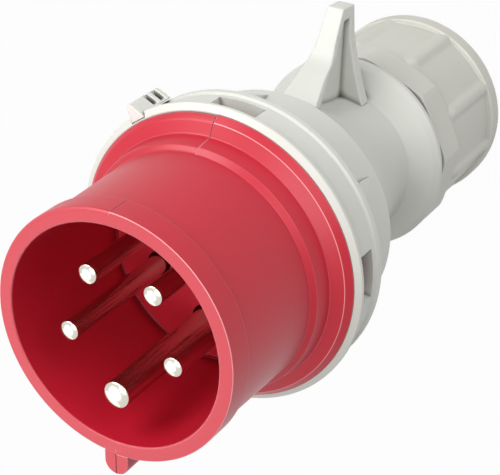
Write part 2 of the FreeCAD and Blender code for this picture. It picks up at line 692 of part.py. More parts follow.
def gland_seal_outer():
    outer = SEAL_OUTER_R
    return turned([
        (outer - SEAL_OUTER_WALL, CAGE_SEAT_Y),
        (outer - EDGE, CAGE_SEAT_Y),
        (outer, CAGE_SEAT_Y + EDGE),
        (outer, CAGE_SEAT_Y + SEAL_LEN - EDGE),
        (outer - EDGE, CAGE_SEAT_Y + SEAL_LEN),
        (outer - SEAL_OUTER_WALL, CAGE_SEAT_Y + SEAL_LEN),
    ])


def gland_seal_inner():
    return tube(CAGE_SEAT_Y, SEAL_LEN, SEAL_INNER_R, CABLE_R)


def slip_washer():
    return tube(WASHER_Y, WASHER_T, CAGE_TIP_R + WASHER_MARGIN, NUT_EXIT_R + WASHER_HOLE_MARGIN)


def nut_prism(corner_r, y, length):
    """A many-sided prism about the axis, with a corner half-way between the ribs."""
    corners = []
    for i in range(NUT_SIDES):
        angle = radians(NUT_SIDE_ANGLE + (i + 0.5) * 360 / NUT_SIDES)
        corners.append(vec(corner_r * sin(angle), y, corner_r * cos(angle)))
    return prism(corners, vec(0, length, 0))


def gland_nut():
    skirt_end = NUT_Y + NUT_SKIRT_LEN
    rim_y = NUT_END_Y - NUT_RIM_LEN
    flat_r = NUT_CORNER_R * cos(radians(180 / NUT_SIDES))
    # Round forms: the skirt's chamfered blank, and the rim with its rounded rear edge.
    skirt_round = turned([
        (0, NUT_Y),
        (flat_r - EDGE, NUT_Y),
        (NUT_CORNER_R, NUT_Y + NUT_CHAMFER_LEN),
        (NUT_CORNER_R, skirt_end),
        (0, skirt_end),
    ])
    rim = turned([
        (0, rim_y),
        (NUT_RIM_R - EDGE, rim_y),
        (NUT_RIM_R, rim_y + EDGE),
        (NUT_RIM_R, NUT_END_Y - NUT_REAR_EDGE),
        (NUT_REAR_R, NUT_END_Y, (NUT_RIM_R - 0.1 * NUT_REAR_EDGE, NUT_END_Y - 0.3 * NUT_REAR_EDGE)),
        (0, NUT_END_Y),
    ])
    body = nut_prism(NUT_CORNER_R, NUT_Y, NUT_SKIRT_LEN).common(skirt_round)
    core = nut_prism(NUT_PANEL_R, skirt_end - 1, rim_y - skirt_end + 2)
    # The skirt's rear edge slopes down to the panels.
    cone = turned([
        (0, skirt_end),
        (NUT_CORNER_R, skirt_end),
        (NUT_PANEL_R - EDGE, skirt_end + NUT_SLOPE_LEN),
        (0, skirt_end + NUT_SLOPE_LEN),
    ])
    slope = nut_prism(NUT_CORNER_R, skirt_end, NUT_SLOPE_LEN).common(cone)
    add = [core, slope, rim]
    root = NUT_PANEL_R * cos(radians(180 / NUT_SIDES)) - 1
    for i in range(NUT_SIDES):
        half = NUT_RIB_W / 2
        wide = half + NUT_FLANK_W
        y = skirt_end - 1
        outline = [vec(-wide, y, root), vec(wide, y, root), vec(half, y, flat_r), vec(-half, y, flat_r)]
        rib = prism(outline, vec(0, rim_y - y + 1, 0))
        add.append(spun(rib, NUT_SIDE_ANGLE + i * 360 / NUT_SIDES))
    body = body.fuse(add)
    seat_r = CAGE_TIP_R + WASHER_MARGIN + RUN_GAP
    inside = turned([
        (0, NUT_Y - 1),
        (NUT_BORE_R, NUT_Y - 1),
        (NUT_BORE_R, THREAD_END_Y + 2 + RUN_GAP),
        (seat_r, WASHER_Y - 1),
        (seat_r, NUT_SEAT_Y),
        (NUT_EXIT_R, NUT_SEAT_Y),
        (NUT_EXIT_R, NUT_END_Y + 1),
        (0, NUT_END_Y + 1),
    ])
    return one(body.cut(inside))


def stood(shape):
    """The shape turned from the drawing's axes to the plug that stands on its nut, fin to the front."""
    copy = shape.copy()
    copy.rotate(ORIGIN, FreeCAD.Vector(1, 0, 0), -90)
    copy.rotate(ORIGIN, FreeCAD.Vector(0, 0, 1), 180)
    return copy


def main():
    os.makedirs("parts", exist_ok=True)
    nodes = {"front_shroud": front_shroud()}
    for name, angle in PIN_ANGLES.items():
        nodes[name] = placed(contact_pin(PIN_R, PIN_TIP_Y, TERMINAL_SCREW_R), angle, PIN_CIRCLE_R)
    nodes["pin_earth"] = placed(contact_pin(EARTH_R, EARTH_TIP_Y, EARTH_SCREW_R), 180.0, EARTH_CIRCLE_R)
    screw = terminal_screw(PIN_R, TERMINAL_SCREW_R)
    guard = wire_guard(PIN_R)
    angles = PIN_ANGLES.values()
    nodes["terminal_screws"] = Part.makeCompound([placed(screw, a, PIN_CIRCLE_R) for a in angles])
    nodes["terminal_screw_earth"] = placed(terminal_screw(EARTH_R, EARTH_SCREW_R), 180.0, EARTH_CIRCLE_R)
    nodes["wire_guards"] = Part.makeCompound([placed(guard, a, PIN_CIRCLE_R) for a in angles])
    nodes["wire_guard_earth"] = placed(wire_guard(EARTH_R), 180.0, EARTH_CIRCLE_R)
    nodes["contact_carrier"] = contact_carrier()
    nodes["carrier_screw"] = carrier_screw()
    nodes["flange_gasket"] = flange_gasket()
    nodes["rear_housing"] = rear_housing()
    nodes["lock_slide"] = lock_slide()
    nodes["gland_cage"] = gland_cage()
    nodes["gland_seal_outer"] = gland_seal_outer()
    nodes["gland_seal_inner"] = gland_seal_inner()
    nodes["slip_washer"] = slip_washer()
    nodes["gland_nut"] = gland_nut()
    for name, shape in nodes.items():
        solids = shape.Solids
        print(name, len(solids), "solids", "valid" if shape.isValid() else "INVALID",
              round(shape.Volume / 1000, 2), "cm3")
        stood(shape).exportStep("parts/" + name + ".step")


main()
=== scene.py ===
"""Looks of the industrial pin and sleeve plug: its moulded shells, finishes, light and camera.

Shapes are drawn in millimetres in the same axes as the part's source: the plug's axis is Y, the mouth
lies at y = 0 and looks along -Y, and the grip fin points along +Z. Angles run about the axis from the
fin, clockwise as seen from the mouth. STAND turns the drawing into the frame, where the plug stands on
its gland nut.
"""
import math

import bmesh
import bpy
from mathutils import Matrix, Vector

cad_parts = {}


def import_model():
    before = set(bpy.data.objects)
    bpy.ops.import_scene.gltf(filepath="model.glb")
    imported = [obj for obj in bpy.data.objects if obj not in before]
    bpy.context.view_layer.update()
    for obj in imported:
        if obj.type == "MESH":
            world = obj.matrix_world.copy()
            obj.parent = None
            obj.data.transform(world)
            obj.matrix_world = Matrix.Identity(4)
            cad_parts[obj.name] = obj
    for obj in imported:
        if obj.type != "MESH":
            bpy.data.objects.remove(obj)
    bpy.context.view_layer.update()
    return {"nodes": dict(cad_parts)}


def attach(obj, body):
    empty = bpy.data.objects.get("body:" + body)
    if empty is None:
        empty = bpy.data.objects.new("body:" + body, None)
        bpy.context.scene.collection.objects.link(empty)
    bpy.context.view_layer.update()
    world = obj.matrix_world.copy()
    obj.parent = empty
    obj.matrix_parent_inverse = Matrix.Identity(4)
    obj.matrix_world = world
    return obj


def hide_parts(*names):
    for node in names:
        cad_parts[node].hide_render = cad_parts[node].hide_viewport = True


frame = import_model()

MM = 0.001
STAND = Matrix(((-MM, 0, 0, 0), (0, 0, -MM, 0), (0, -MM, 0, 0), (0, 0, 0, 1)))

# Turned profiles
TURN_STEP = 1.0               # degrees between the columns of a turned shell
ARC_STEPS = 5                 # faces in a rounded edge
SHARP_ANGLE = math.radians(35)

# Front shroud
BORE_R = 28.2
RIM_R = 31.9
RIM_LEN = 6.9
TUBE_R = 31.0
TUBE_Y = 8.0
TUBE_END_R = 31.5
RING_Y = 35.5
RING_R = 32.9
RING_FACE_Y = 36.6
FLANGE_IN_R = 33.6
FACE_Y = 41.5
FACE_EDGE_R = 36.8
FACE_EDGE_Y = 42.9
FLANGE_R = 38.4
FLANGE_BACK_Y = 44.8
SPIGOT_R = 31.8
SPIGOT_IN_R = 29.8
SPIGOT_BACK_Y = 56.1
FLOOR_EDGE_Y = 43.0
FLOOR_Y = 41.5                # the floor rises by a chamfer along the bore's wall
FLOOR_R = 26.4
FLOOR_RIM = 0.15              # the rounding of the recesses' rims
FLOOR_COLUMNS = 96
RECESS_Y = 45.0
FLOOR_BACK_Y = 47.0
PARTING_ANGLE = -0.6          # where the two halves of the mould meet at the top
SEAM_SINK = 0.12              # depth of the fine line along that seam, drawn deeper than real to show
SEAM_TURNS = (-0.26, -0.06, 0.06, 0.26)
SEAM_RIM_Y = (0.4, 4.6)       # the part of the rim's outside that the line runs over
KEY_SEAM_W = 0.16             # half the width of the line down the key
KEY_R = 3.25
KEY_TIP_R = 37.5
KEY_TURN = -1.5
KEY_ROOT_R = 30.4
KEY_START_Y = 0.03            # just behind the rim's face, so that the two don't coincide
LUG_ANGLES = (29.5, 119.5, 209.5, 299.5)
LUG_WIDTH = 22.0
LUG_PROUD = 2.6
LUG_Y = 49.9
LUG_LEN = 3.0

# Contacts: angle about the axis, distance from it, radius, and tip
CONTACTS = {
    "pin_line_1": (-36, 15.0, 2.5, 2.6),
    "pin_line_2": (36, 15.0, 2.5, 2.6),
    "pin_line_3": (108, 15.0, 2.5, 2.6),
    "pin_neutral": (-108, 15.0, 2.5, 2.6),
    "pin_earth": (180, 16.4, 3.5, 0.6),
}
RECESS_MARGIN = 0.9
DOME_FACTOR = 1.9             # the dome's radius over the pin's
DOME_EDGE = 0.16              # share of the pin's radius that its tip is rounded by
PIN_COLUMNS = 96
PIN_ROOT_MARGIN = 0.4         # how much wider in radius than the shank each part of a pin is
PIN_COLLAR_MARGIN = 2.3
PIN_COLLAR_LEN = 2
BARREL_MARGIN = 1.6
BARREL_REACH = 19             # from the floor's back to the barrel's end
WIRE_BORE_MARGIN = 0.3        # the wire's bore is this much narrower than the shank
WIRE_BORE_LEN = 13

# Rear housing
LIP_Y = 44.9
LIP_R = 39.9
LIP_FACE_Y = 45.9
BAND_R = 38.3
BAND_Y = 47.5
COLLAR_BORE_R = 34.7
REAR_RIM_Y = 56.1
REAR_RIM_R = 38.9
STEP_Y = 58.9
STEP_R = 34.2
STEP_END_Y = 75.4
STEP_END_R = 33.0
NECK_Y = 111.8
NECK_R = 20.8
HOUSING_WALL = 2.6
SHOULDER_Y = 118.0
SHOULDER_R = 28.0
SHOULDER_EDGE = 1.4
THREAD_R = 22.2
THREAD_END_Y = 133.5
THREAD_PITCH = 2.0
CAGE_BORE_R = 19.6
CAGE_SEAT_Y = 121.0
CAGE_SEAT_R = 17.4
WINDOW_ANGLES = (1.0, 86.0, 181.0, 266.0)
WINDOW_WIDTH = 19.5
WINDOW_Y = 48.8
WINDOW_END_Y = 54.8
GUSSET_ANGLES = [-3.6 + 60 * i for i in range(6)]
GUSSET_W = 4.3
GUSSET_POINT_W = 0.4
GUSSET_LEN = 14.5

# Grip fin, in side view as (y, z)
FIN_FOOT_Z = 20.0
FIN_FOOT_W = 15.0
FIN_WAIST_Z = 38.5
FIN_WAIST_W = 5.6
FIN_TIP_W = 4.7
FIN_TOP_Z = 47.3
FIN_SPREAD = 0.42
FIN_FRONT = ((82.5, 26.0), (92.2, 33.2), (98.0, 38.5), (102.8, 47.3))    # toe, knee, waist and top
FIN_FRONT_INSIDE = ((86.3, 26.0), (94.9, 33.2), (100.7, 38.5), (103.5, 43.7))
FIN_REAR = ((109.2, 46.9), (110.8, 19.5))
FIN_REAR_INSIDE = ((106.9, 43.7), (106.9, 19.5))
FIN_REAR_STEPS = 10
FIN_WEB = ((84, 24), (91, 30.8), (99, 38), (103, 44.5), (107.5, 44.5), (107.5, 19.5), (84, 19.5))
FIN_WEB_HALF = 0.8

# Lock slide
LOCK_ANGLE = -36.5
LOCK_UNDER_R = 39.2
LOCK_TOP_R = 43.0
LOCK_FLOOR_R = 39.8
LOCK_WIDTH = 4.4
LOCK_CREST_W = 1.1
LOCK_CREST_SHIFT = -0.5
LOCK_TEETH = ((0.0, 6.1), (7.9, 9.4), (11.3, 12.8))
LOCK_SKIRT_R = 38.42
LOCK_SKIRT_LEN = 7.6
LOCK_NOTCH_R = 38.39
LOCK_PLAY = 0.08
LOCK_WALL = 0.75              # the wall on the left that closes the slots
LOCK_GROOVE_R = 36.15
LOCK_GROOVE_W = 3.3
LOCK_GROOVE_Y = (48.0, 55.6)
LOCK_FOOT_HALF = 1.5          # the foot that runs in the groove
LOCK_FOOT_Y = (48.1, 52.5)
LOCK_FOOT_Z = (36.4, 39.6)

# Gland nut
NUT_Y = 118.7
NUT_END_Y = 160.7
NUT_SIDES = 9
NUT_SIDE_ANGLE = -17.5
NUT_CORNER_R = 28.4
NUT_FACE_Y = 119.3
NUT_SKIRT_END_Y = 129.4
NUT_PANEL_R = 25.9            # at a panel's middle
NUT_PANEL_BOW = 0.5           # 1 is a flat panel
NUT_RIM_Y = 154.7
NUT_RIM_R = 27.3
NUT_RIB_R = 27.25
NUT_RIB_W = 1.5
NUT_RIB_SLOPE = 0.62
NUT_BORE_R = 22.5
NUT_SEAT_Y = 155.6
NUT_SEAT_R = 18.4
NUT_EXIT_R = 12.0
NUT_ROUND = 2.0               # the rim's rounded end
NUT_BANDS = ((NUT_FACE_Y, 120.8, 18), (120.8, 127.3, 6), (127.3, 133.3, 40), (133.3, 153.4, 10),
             (153.4, 156.0, 24), (156.0, NUT_END_Y - NUT_ROUND, 4))      # from, to and rows
NUT_STEPS = (0, 0.8, 1.5, 2.0, 2.4, 2.7, 2.9, 3.1, 3.3, 3.5, 3.8, 4.1, 4.4, 4.7, 5.0, 5.3, 5.6, 6.0, 6.6,
             7.5, 9, 11, 13, 15, 16.5, 17.5, 18.3, 18.9, 19.4, 19.8, 20)


def linear(colour):
    """An sRGB hex colour as linear red, green, blue and alpha."""
    channels = [int(colour[i:i + 2], 16) / 255 for i in (1, 3, 5)]
    return [c / 12.92 if c <= 0.04045 else ((c + 0.055) / 1.055) ** 2.4 for c in channels] + [1.0]


# Drawing helpers
def on_circle(radius, angle, y):
    turn = math.radians(angle)
    return Vector((radius * math.sin(turn), y, radius * math.cos(turn)))


def turned_about_axis(angle):
    """The rotation that takes the fin's side to an angle about the plug's axis."""
    return Matrix.Rotation(math.radians(angle), 4, "Y")


def rounded(corners, half=0):
    """An outline of (radius, y, edge) corners, each turned into a small arc.

    An edge given as a pair has one size on each half of the mould.
    """
    outline = []
    for i, (radius, y, edge) in enumerate(corners):
        if isinstance(edge, tuple):
            edge = edge[half]
        here = Vector((radius, y))
        if edge == 0:
            outline.append(here)
            continue
        before = Vector(corners[i - 1][:2]) - here
        after = Vector(corners[(i + 1) % len(corners)][:2]) - here
        reach = min(edge / math.tan(before.angle(after) / 2), 0.45 * before.length, 0.45 * after.length)
        start = here + before.normalized() * reach
        end = here + after.normalized() * reach
        for step in range(ARC_STEPS + 1):
            t = step / ARC_STEPS
            outline.append(start * (1 - t) ** 2 + here * 2 * t * (1 - t) + end * t ** 2)
    return outline


def arc_through(start, middle, end, steps):
    """Points of a curve from start to end that passes through a middle point."""
    control = middle * 2 - (start + end) / 2
    points = []
    for step in range(steps + 1):
        t = step / steps
        points.append(start * (1 - t) ** 2 + control * 2 * t * (1 - t) + end * t ** 2)
    return points


def columns(extra=()):
    """Angles all round at an even step, with extra ones where an edge runs along the axis."""
    angles = sorted([i * TURN_STEP for i in range(round(360 / TURN_STEP))] + [a % 360 for a in extra])
    kept = [angles[0]]
    for angle in angles[1:]:
        if angle - kept[-1] > 0.005:
            kept.append(angle)
    return kept


def add_rows(bm, rows, around=True, closed=True):
    """Faces between rows of points, as a list of rows of vertices."""
    made = [[bm.verts.new(point) for point in row] for row in rows]
    pairs = list(zip(made, made[1:]))
    if closed:
        pairs.append((made[-1], made[0]))
    count = len(rows[0])
    for lower, upper in pairs:
        for i in range(count if around else count - 1):
            j = (i + 1) % count
            bm.faces.new((lower[i], lower[j], upper[j], upper[i]))
    return made


def add_prism(bm, outline, end_outline):
    """A closed solid between two outlines with as many points."""
    rows = add_rows(bm, [outline, end_outline], closed=False)
    bm.faces.new(rows[0])
    bm.faces.new(rows[1])


def soften(bm, size, least=50):
    """Rounds the edges at which the faces turn by more than some degrees."""
    bmesh.ops.recalc_face_normals(bm, faces=bm.faces)
    edges = [e for e in bm.edges if e.is_manifold and e.calc_face_angle() > math.radians(least)]
    bmesh.ops.bevel(bm, geom=edges, offset=size, segments=3, profile=0.5, affect="EDGES", clamp_overlap=True)


def clean(bm):
    bmesh.ops.remove_doubles(bm, verts=bm.verts, dist=0.0005)
    bmesh.ops.dissolve_degenerate(bm, edges=bm.edges, dist=0.0001)
    bmesh.ops.recalc_face_normals(bm, faces=bm.faces)


def join(bm, part, turn=None):
    """Adds one clean drawing to another, turned about the axis if wanted."""
    clean(part)
    if turn is not None:
        bmesh.ops.transform(part, matrix=turned_about_axis(turn), verts=part.verts)
    mesh = bpy.data.meshes.new("join")
    part.to_mesh(mesh)
    part.free()
    bm.from_mesh(mesh)
    bpy.data.meshes.remove(mesh)


def piece(parts, name, body, materials, node, sharp=SHARP_ANGLE):
    """Drawings, joined as one object that rides on a body and stands for a CAD node."""
    whole = bmesh.new()
    for part, turn in parts:
        join(whole, part, turn)
    bmesh.ops.transform(whole, matrix=STAND, verts=whole.verts)
    mesh = bpy.data.meshes.new(name)
    whole.to_mesh(mesh)
    whole.free()
    mesh.shade_smooth()
    mesh.set_sharp_from_angle(angle=sharp)
    for material in materials:
        mesh.materials.append(material)
    made = bpy.data.objects.new(name, mesh)
    bpy.context.scene.collection.objects.link(made)
    even = made.modifiers.new("even_shading", "WEIGHTED_NORMAL")
    even.keep_sharp = True
    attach(made, body)
    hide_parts(node)
    return made


# Materials
SHADE_REACH = 2.5             # how far from a corner the painted shade reaches
WAVE_MM = 9.0                 # the waviness from shrinking
GRAIN_MM = 0.35               # the spark-eroded grain
GRAIN_DEPTH = 0.02


def add_node(tree, kind, settings=None, inputs=None):
    """Adds a node with its settings; an input is a value or another node's output."""
    made = tree.nodes.new(kind)
    for key, value in (settings or {}).items():
        setattr(made, key, value)
    for key, value in (inputs or {}).items():
        if isinstance(value, bpy.types.NodeSocket):
            tree.links.new(value, made.inputs[key])
        else:
            made.inputs[key].default_value = value
    return made


def start_material(name):
    """A new material, its tree, its shader and the point on the object that is shaded."""
    material = bpy.data.materials.new(name)
    material.use_nodes = True
    tree = material.node_tree
    shader = tree.nodes["Principled BSDF"]
    place = add_node(tree, "ShaderNodeTexCoord").outputs["Object"]
    return material, tree, shader, place


def per_metre(size_mm):
    """A pattern's scale for features of a size in millimetres."""
    return 1 / (size_mm * MM)


def painted_edge_highlight(tree, soft_normal, openness):
    """1 along a sharply turning outer edge, whose colour is lightened there as a painted highlight, and 0 on
    open faces and in corners.
    """
    face = add_node(tree, "ShaderNodeNewGeometry")
    turn = add_node(tree, "ShaderNodeVectorMath", {"operation": "DOT_PRODUCT"},
                    {0: face.outputs["True Normal"], 1: soft_normal})
    edge = add_node(tree, "ShaderNodeMapRange",
                    inputs={0: turn.outputs["Value"], 1: 0.995, 2: 0.94, 3: 0.0, 4: 1.0})
    outer = add_node(tree, "ShaderNodeMapRange", inputs={0: openness, 1: 0.7, 2: 0.88, 3: 0.0, 4: 1.0})
    edge_highlight = add_node(tree, "ShaderNodeMath", {"operation": "MULTIPLY"},
                    {0: edge.outputs[0], 1: outer.outputs[0]})
    return edge_highlight.outputs[0]


def moulded_plastic(name, colour, tint, highlight_colour, shade_colour, roughness):
    """Injection-moulded polyamide: an even colour under a satin skin, with painted shade that darkens it in gaps
    and corners and a painted highlight that lightens its sharp outer edges.

    The skin has a fine spark-eroded grain, drawn coarser than the real 0.1 mm so that it shows, and a
    long, shallow waviness from shrinking, which bends the highlights a little.
    """
    material, tree, shader, place = start_material(name)
    edge = add_node(tree, "ShaderNodeBevel", {"samples": 4}, {"Radius": 0.25 * MM})
    cloud = add_node(tree, "ShaderNodeTexNoise",
                     inputs={"Vector": place, "Scale": per_metre(25), "Detail": 3.0})
    mottle = add_node(tree, "ShaderNodeMix", {"data_type": "RGBA"},
                      {0: cloud.outputs["Fac"], 6: linear(colour), 7: linear(tint)})
    # Painted shade: ambient occlusion mixes the colour towards the shade colour in gaps and corners.
    corner = add_node(tree, "ShaderNodeAmbientOcclusion", {"samples": 8}, {"Distance": SHADE_REACH * MM})
    openness = corner.outputs["AO"]
    gap = add_node(tree, "ShaderNodeMapRange", inputs={0: openness, 1: 0.82, 2: 0.3, 3: 0.0, 4: 0.9})
    painted_shade = add_node(tree, "ShaderNodeMix", {"data_type": "RGBA"},
                      {0: gap.outputs[0], 6: mottle.outputs[2], 7: linear(shade_colour)})
    # Painted highlight: sharp outer edges are lightened towards the highlight colour.
    edge_highlight = painted_edge_highlight(tree, edge.outputs[0], openness)
    base = add_node(tree, "ShaderNodeMix", {"data_type": "RGBA"},
                    {0: edge_highlight, 6: painted_shade.outputs[2], 7: linear(highlight_colour)})
    wave = add_node(tree, "ShaderNodeTexNoise",
                    inputs={"Vector": place, "Scale": per_metre(WAVE_MM), "Detail": 1.0})
    grain = add_node(tree, "ShaderNodeTexNoise",
                     inputs={"Vector": place, "Scale": per_metre(GRAIN_MM), "Detail": 2.0})
    gloss = add_node(tree, "ShaderNodeMapRange",
                     inputs={0: grain.outputs["Fac"], 3: roughness - 0.05, 4: roughness + 0.05})
    shrink = add_node(tree, "ShaderNodeBump",
                      inputs={"Strength": 0.15, "Distance": 0.2 * MM, "Height": wave.outputs["Fac"],
                              "Normal": edge.outputs[0]})
    skin = add_node(tree, "ShaderNodeBump",
                    inputs={"Strength": 0.25, "Distance": GRAIN_DEPTH * MM, "Height": grain.outputs["Fac"],
                            "Normal": shrink.outputs[0]})
    tree.links.new(base.outputs[2], shader.inputs["Base Color"])
    tree.links.new(gloss.outputs[0], shader.inputs["Roughness"])
    tree.links.new(skin.outputs[0], shader.inputs["Normal"])
    shader.inputs["IOR"].default_value = 1.53
    return material


def plated_metal(name, colour, roughness, ring_mm):
    """Turned and plated metal: bright, with very faint turning rings and patches of duller plate.

    A lathe leaves rings 0.05 to 0.1 mm apart. They are drawn coarser, 2 pi times ring_mm apart, so
    that they show.
    """
    material, tree, shader, place = start_material(name)
    stain = add_node(tree, "ShaderNodeTexNoise",
                     inputs={"Vector": place, "Scale": per_metre(4), "Detail": 4.0})
    gloss = add_node(tree, "ShaderNodeMapRange",
                     inputs={0: stain.outputs["Fac"], 3: roughness * 0.85, 4: roughness * 1.2})
    rings = add_node(tree, "ShaderNodeTexWave", {"wave_type": "BANDS", "bands_direction": "Z"},
                     {"Vector": place, "Scale": per_metre(ring_mm) / 20, "Distortion": 0.3, "Detail": 1.0})
    relief = add_node(tree, "ShaderNodeBump",
                      inputs={"Strength": 0.01, "Distance": 0.003 * MM, "Height": rings.outputs["Fac"]})
    shader.inputs["Metallic"].default_value = 1.0
    shader.inputs["Base Color"].default_value = linear(colour)
    tree.links.new(gloss.outputs[0], shader.inputs["Roughness"])
    tree.links.new(relief.outputs[0], shader.inputs["Normal"])
    return material


def soft_rubber(name, colour):
    """Moulded rubber: nearly black and dull, with a dusty bloom that lightens it in patches."""
    material, tree, shader, place = start_material(name)
    bloom = add_node(tree, "ShaderNodeTexNoise",
                     inputs={"Vector": place, "Scale": per_metre(3), "Detail": 5.0})
    dust = add_node(tree, "ShaderNodeMix", {"data_type": "RGBA"},
                    {0: bloom.outputs["Fac"], 6: linear(colour), 7: linear("#3A3A3C")})
    skin = add_node(tree, "ShaderNodeBump",
                    inputs={"Strength": 0.3, "Distance": 0.03 * MM, "Height": bloom.outputs["Fac"]})
    tree.links.new(dust.outputs[2], shader.inputs["Base Color"])
    tree.links.new(skin.outputs[0], shader.inputs["Normal"])
    shader.inputs["Roughness"].default_value = 0.7
    shader.inputs["IOR"].default_value = 1.52
    return material


# Front shroud
def shroud_corners():
    """The shroud's section, with soft edges on the left half of the mould and crisp ones on the right."""
    return [
        (BORE_R, 0, 0.5),
        (RIM_R, 0, (0.9, 0.25)),
        (RIM_R, RIM_LEN, (0.6, 0.3)),
        (TUBE_R, TUBE_Y, 0.5),
        (TUBE_END_R, RING_Y, (1.0, 0.4)),
        (RING_R, RING_FACE_Y, (1.0, 0.3)),
        (FLANGE_IN_R, FACE_Y, (0.7, 0.35)),
        (FACE_EDGE_R, FACE_EDGE_Y, (1.5, 0.55)),
        (FLANGE_R, FLANGE_BACK_Y, (0.5, 0.15)),
        (SPIGOT_R, FLANGE_BACK_Y, 0),
        (SPIGOT_R, SPIGOT_BACK_Y, 0.3),
        (SPIGOT_IN_R, SPIGOT_BACK_Y, 0.3),
        (SPIGOT_IN_R, FLOOR_BACK_Y, 0),
        (0, FLOOR_BACK_Y, 0),
        (0, RECESS_Y, 0),
        (FLOOR_R - 0.3, RECESS_Y, 0),
        (FLOOR_R - 0.3, FLOOR_Y + 0.15, 0),
        (BORE_R, FLOOR_EDGE_Y, 0.2),
    ]


def floor_plate():
    """The mouth's floor with a round recess at each contact, as a filled curve with rounded rims."""
    curve = bpy.data.curves.new("floor", "CURVE")
    curve.dimensions = "2D"
    curve.fill_mode = "BOTH"
    curve.extrude = (RECESS_Y - FLOOR_Y) / 2 - FLOOR_RIM
    curve.bevel_depth = FLOOR_RIM
    curve.bevel_resolution = 2
    holes = [(on_circle(circle, angle, 0), radius + RECESS_MARGIN)
             for angle, circle, radius, *_ in CONTACTS.values()]
    for centre, radius in [(Vector((0, 0, 0)), FLOOR_R)] + holes:
        ring = curve.splines.new("POLY")
        ring.points.add(FLOOR_COLUMNS - 1)
        for i, point in enumerate(ring.points):
            turn = math.tau * i / FLOOR_COLUMNS
            point.co = (centre.x + radius * math.cos(turn), centre.z + radius * math.sin(turn), 0, 1)
        ring.use_cyclic_u = True
    maker = bpy.data.objects.new("floor", curve)
    bpy.context.scene.collection.objects.link(maker)
    mesh = bpy.data.meshes.new_from_object(maker.evaluated_get(bpy.context.evaluated_depsgraph_get()))
    plate = bmesh.new()
    plate.from_mesh(mesh)
    bpy.data.objects.remove(maker)
    bpy.data.meshes.remove(mesh)
    # The curve lies in its own X and Y; the drawing wants its Y along Z, at the floor's depth.
    swap = Matrix(((1, 0, 0, 0), (0, 0, -1, (FLOOR_Y + RECESS_Y) / 2), (0, 1, 0, 0), (0, 0, 0, 1)))
    bmesh.ops.transform(plate, matrix=swap, verts=plate.verts)
    return plate


def guide_key():
    """The key in two halves, so that the parting line runs down its middle."""
    halves = []
    nose = KEY_TIP_R - KEY_R
    start_y, end_y = KEY_START_Y, FACE_EDGE_Y
    for side in (-1, 1):
        half = bmesh.new()
        outline = [(0, -KEY_ROOT_R), (0, -KEY_TIP_R)]
        for step in range(1, 11):
            turn = math.radians(9 * step)
            outline.append((side * KEY_R * math.sin(turn), -nose - KEY_R * math.cos(turn)))
        outline.append((side * KEY_R, -KEY_ROOT_R))
        add_prism(half, [(x, start_y, z) for x, z in outline], [(x, end_y, z) for x, z in outline])
        bmesh.ops.recalc_face_normals(half, faces=half.faces)
        middle = [e for e in half.edges if all(abs(v.co.x) < 0.001 for v in e.verts)]
        bmesh.ops.bevel(half, geom=middle, offset=KEY_SEAM_W, segments=2, profile=0.5, affect="EDGES")
        # Faces of the line down the middle take the darker red, a painted shade in the line.
        for face in half.faces:
            if abs(face.calc_center_median().x) < KEY_SEAM_W and abs(face.normal.x) < 0.98:
                face.material_index = 1
        front = [e for e in half.edges if e.is_manifold and e.calc_face_angle() > math.radians(50)
                 and all(v.co.y < 0.1 and abs(v.co.x) > 0.05 for v in e.verts)]
        bmesh.ops.bevel(half, geom=front, offset=0.3, segments=3, profile=0.5, affect="EDGES")
        halves.append(half)
    return halves


def bayonet_lug():
    """A block of a ring on the spigot."""
    part = bmesh.new()
    steps = round(LUG_WIDTH / TURN_STEP)
    angles = [-LUG_WIDTH / 2 + LUG_WIDTH * i / steps for i in range(steps + 1)]
    low, high, end = SPIGOT_R - 0.5, SPIGOT_R + LUG_PROUD, LUG_Y + LUG_LEN
    section = ((low, LUG_Y), (high, LUG_Y), (high, end), (low, end))
    rows = add_rows(part, [[on_circle(r, a, y) for r, y in section] for a in angles], closed=False)
    part.faces.new(rows[0])
    part.faces.new(rows[-1])
    soften(part, 0.3)
    return part


def on_seam(point, seams, reach=0.24):
    """Whether a point lies where the seam shows: along the outside of the rim, and across the flange."""
    on_rim = SEAM_RIM_Y[0] < point.y < SEAM_RIM_Y[1]
    on_flange = FACE_Y - 0.2 < point.y < FLANGE_BACK_Y
    if not (on_rim or on_flange) or math.hypot(point.x, point.z) < RIM_R - 0.6:
        return False
    angle = math.degrees(math.atan2(point.x, point.z))
    return min(abs((angle - seam + 180) % 360 - 180) for seam in seams) < reach


def on_crisp_edge(point, top, bottom):
    """Whether a point lies on the right half's crisp edges: the rim's outer one and the flange's."""
    if not 0 < (math.degrees(math.atan2(point.x, point.z)) - top) % 360 < bottom - top:
        return False
    radius = math.hypot(point.x, point.z)
    on_rim = radius > RIM_R - 0.16 and point.y < 0.16
    return on_rim or (abs(radius - FACE_EDGE_R) < 0.1 and abs(point.y - FACE_EDGE_Y) < 0.1)


def sunk(radius, y, angle):
    """A point of the seam's line, pressed into the shroud's wall."""
    outside = Vector((radius, y))
    middle = Vector(((BORE_R + TUBE_R) / 2, min(max(y, 1.5), FACE_EDGE_Y)))
    radius, y = outside + (middle - outside).normalized() * SEAM_SINK
    return radius, angle, y


